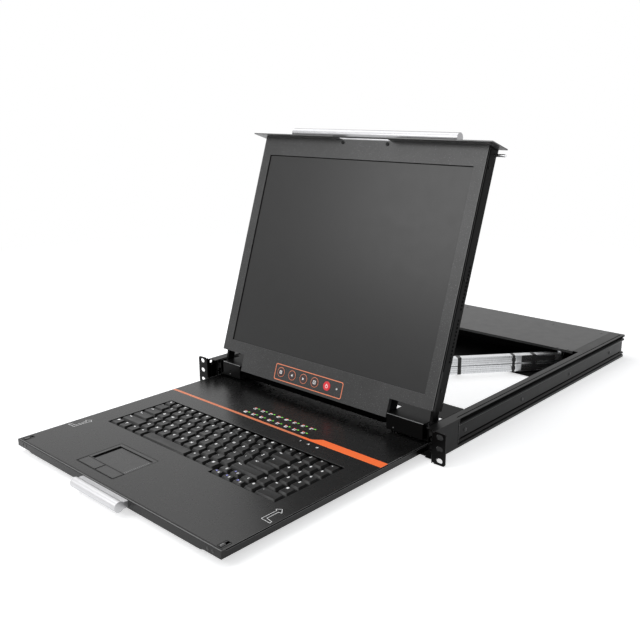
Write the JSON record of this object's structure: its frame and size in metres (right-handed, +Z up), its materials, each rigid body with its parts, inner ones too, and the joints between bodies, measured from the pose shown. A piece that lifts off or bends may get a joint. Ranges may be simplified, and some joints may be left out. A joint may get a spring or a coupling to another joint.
{
  "type": "rackmount lcd console drawer",
  "caption": "Rack console drawer: a screen that folds down over a keyboard tray, both sliding on rails in a one-unit rack chassis with cable arms.",
  "frame": {"origin": "centre of the rack ears' hole pattern, on the face that bears on the rack posts", "axes": "+X to the operator's right, +Y into the rack, +Z up"},
  "size_m": [0.4826, 0.9472, 0.4037],
  "materials": {
    "black_coat": "fine textured powder coat, black",
    "zinc_steel": "bright zinc-plated sheet",
    "steel_screw": "nickel-plated screws",
    "black_screw": "black oxide screws",
    "pin_steel": "turned steel",
    "arm_steel": "bright folded steel",
    "handle_aluminium": "satin anodised",
    "nylon": "natural nylon",
    "black_plastic": "fine grain",
    "key_plastic": "satin key caps",
    "screen_face": "anti-glare polariser",
    "board_green": "circuit board",
    "button_dark": "moulded button",
    "button_red": "moulded button",
    "light_lens": "diffuse lens",
    "socket_plastic": "connector moulding",
    "cable_black": "cable jacket and straps"
  },
  "bodies": {
    "chassis": {"left_rail": "black_coat", "right_rail": "black_coat", "left_rack_ear": "black_coat", "right_rack_ear": "black_coat", "front_brace": "black_coat", "rear_box_base": "black_coat", "rear_box_cover": "black_coat", "rear_box_boards": "board_green", "rear_sockets": "socket_plastic", "chassis_screws": "steel_screw", "lcd_slide_channels": "zinc_steel", "tray_slide_channels": "zinc_steel", "arm_pivot_stubs": "arm_steel"},
    "power_rocker": {"power_switch": "black_plastic"},
    "lcd_carriage": {"lcd_runners": "zinc_steel", "lcd_glides": "nylon", "lcd_carriage_plate": "black_coat", "hinge_pins": "pin_steel"},
    "lcd_panel": {"lcd_bezel": "black_coat", "lcd_rear_cover": "black_coat", "lcd_screen": "screen_face", "lcd_driver_board": "board_green", "lcd_front_cover": "black_coat", "lcd_handle": "handle_aluminium", "osd_board": "light_lens", "hinge_arms": "arm_steel", "lcd_screws": "black_screw"},
    "right_pin": {"right_locking_pin": "pin_steel"},
    "left_pin": {"left_locking_pin": "pin_steel"},
    "tray": {"tray_cover": "black_coat", "tray_pan": "black_coat", "tray_handle": "handle_aluminium", "keyboard_base": "black_plastic", "touchpad": "black_plastic", "port_indicators": "light_lens", "tray_runners": "zinc_steel", "tray_glides": "nylon", "tray_screws": "steel_screw"},
    "lcd_arm_front": {"lcd_front_arm": "arm_steel", "lcd_front_arm_cable": "cable_black"},
    "lcd_arm_rear": {"lcd_rear_arm": "arm_steel", "lcd_rear_arm_cable": "cable_black"},
    "tray_arm_front": {"tray_front_arm": "arm_steel", "tray_front_arm_cable": "cable_black"},
    "tray_arm_rear": {"tray_rear_arm": "arm_steel", "tray_rear_arm_cable": "cable_black"},
    "right_latch": {"right_tray_latch": "black_plastic"},
    "left_latch": {"left_tray_latch": "black_plastic"},
    "pad_left_button": {"touchpad_left_button": "black_plastic"},
    "pad_right_button": {"touchpad_right_button": "black_plastic"},
    "osd_key_1": {"osd_button_1": "button_dark"},
    "osd_key_2": {"osd_button_2": "button_dark"},
    "osd_key_3": {"osd_button_3": "button_dark"},
    "osd_key_4": {"osd_button_4": "button_dark"},
    "osd_key_5": {"osd_button_5": "button_red"},
    "function_keys_group": {"function_keys": "key_plastic"},
    "typing_keys_group": {"typing_keys": "key_plastic"},
    "space_bar_group": {"space_bar": "key_plastic"},
    "arrow_keys_group": {"arrow_keys": "key_plastic"},
    "numpad_keys_group": {"numpad_keys": "key_plastic"}
  },
  "joints": [
    {"name": "lcd_slide", "type": "slide", "parent": "chassis", "child": "lcd_carriage", "axis": [0, 1, 0], "range_m": [0, 0.336]},
    {"name": "lcd_tilt", "type": "hinge", "parent": "lcd_carriage", "child": "lcd_panel", "pos_m": [0, 0.0294, 0.0131], "axis": [1, 0, 0], "range_deg": [-7, 108]},
    {"name": "tray_slide", "type": "slide", "parent": "chassis", "child": "tray", "axis": [0, 1, 0], "range_m": [0, 0.336]},
    {"name": "osd_button_1_press", "type": "slide", "parent": "lcd_panel", "child": "osd_key_1", "axis": [0, -0.9511, 0.309], "range_m": [-0.0008, 0], "stiffness_N_per_m": 600},
    {"name": "osd_button_2_press", "type": "slide", "parent": "lcd_panel", "child": "osd_key_2", "axis": [0, -0.9511, 0.309], "range_m": [-0.0008, 0], "stiffness_N_per_m": 600},
    {"name": "osd_button_3_press", "type": "slide", "parent": "lcd_panel", "child": "osd_key_3", "axis": [0, -0.9511, 0.309], "range_m": [-0.0008, 0], "stiffness_N_per_m": 600},
    {"name": "osd_button_4_press", "type": "slide", "parent": "lcd_panel", "child": "osd_key_4", "axis": [0, -0.9511, 0.309], "range_m": [-0.0008, 0], "stiffness_N_per_m": 600},
    {"name": "osd_button_5_press", "type": "slide", "parent": "lcd_panel", "child": "osd_key_5", "axis": [0, -0.9511, 0.309], "range_m": [-0.0008, 0], "stiffness_N_per_m": 600},
    {"name": "right_locking_pin_pull", "type": "slide", "parent": "lcd_panel", "child": "right_pin", "axis": [1, 0, 0], "range_m": [-0.008, 0], "stiffness_N_per_m": 300},
    {"name": "left_locking_pin_pull", "type": "slide", "parent": "lcd_panel", "child": "left_pin", "axis": [-1, 0, 0], "range_m": [-0.008, 0], "stiffness_N_per_m": 300},
    {"name": "function_keys_press", "type": "slide", "parent": "tray", "child": "function_keys_group", "axis": [0, 0, 1], "range_m": [-0.002, 0], "stiffness_N_per_m": 900},
    {"name": "typing_keys_press", "type": "slide", "parent": "tray", "child": "typing_keys_group", "axis": [0, 0, 1], "range_m": [-0.002, 0], "stiffness_N_per_m": 1500},
    {"name": "space_bar_press", "type": "slide", "parent": "tray", "child": "space_bar_group", "axis": [0, 0, 1], "range_m": [-0.002, 0], "stiffness_N_per_m": 400},
    {"name": "arrow_keys_press", "type": "slide", "parent": "tray", "child": "arrow_keys_group", "axis": [0, 0, 1], "range_m": [-0.002, 0], "stiffness_N_per_m": 400},
    {"name": "numpad_keys_press", "type": "slide", "parent": "tray", "child": "numpad_keys_group", "axis": [0, 0, 1], "range_m": [-0.002, 0], "stiffness_N_per_m": 900},
    {"name": "touchpad_left_click", "type": "slide", "parent": "tray", "child": "pad_left_button", "axis": [0, 0, 1], "range_m": [-0.0004, 0], "stiffness_N_per_m": 900},
    {"name": "touchpad_right_click", "type": "slide", "parent": "tray", "child": "pad_right_button", "axis": [0, 0, 1], "range_m": [-0.0004, 0], "stiffness_N_per_m": 900},
    {"name": "left_latch_pull", "type": "slide", "parent": "tray", "child": "left_latch", "axis": [0, 1, 0], "range_m": [0, 0.005], "stiffness_N_per_m": 300},
    {"name": "right_latch_pull", "type": "slide", "parent": "tray", "child": "right_latch", "axis": [0, 1, 0], "range_m": [0, 0.005], "stiffness_N_per_m": 300},
    {"name": "lcd_arm_front_turn", "type": "hinge", "parent": "lcd_carriage", "child": "lcd_arm_front", "pos_m": [0.156, 0.092, 0], "axis": [0, 0, 1], "range_deg": [0, 52.54]},
    {"name": "lcd_arm_rear_turn", "type": "hinge", "parent": "lcd_arm_front", "child": "lcd_arm_rear", "pos_m": [0.03375, 0.26289, 0], "axis": [0, 0, 1], "range_deg": [-103.1, 0]},
    {"name": "tray_arm_front_turn", "type": "hinge", "parent": "tray", "child": "tray_arm_front", "pos_m": [0.156, 0.092, 0], "axis": [0, 0, 1], "range_deg": [0, 52.54]},
    {"name": "tray_arm_rear_turn", "type": "hinge", "parent": "tray_arm_front", "child": "tray_arm_rear", "pos_m": [0.03375, 0.26289, 0], "axis": [0, 0, 1], "range_deg": [-103.1, 0]},
    {"name": "power_rocker_tip", "type": "hinge", "parent": "chassis", "child": "power_rocker", "pos_m": [-0.146, 0.5845, 0], "axis": [1, 0, 0], "range_deg": [-20, 0]}
  ],
  "couplings": [
    {"joint": "lcd_arm_front_turn", "follows": "lcd_slide", "rad_per_m": 2.7291},
    {"joint": "lcd_arm_rear_turn", "follows": "lcd_slide", "rad_per_m": -5.3552},
    {"joint": "tray_arm_front_turn", "follows": "tray_slide", "rad_per_m": 2.7291},
    {"joint": "tray_arm_rear_turn", "follows": "tray_slide", "rad_per_m": -5.3552}
  ]
}
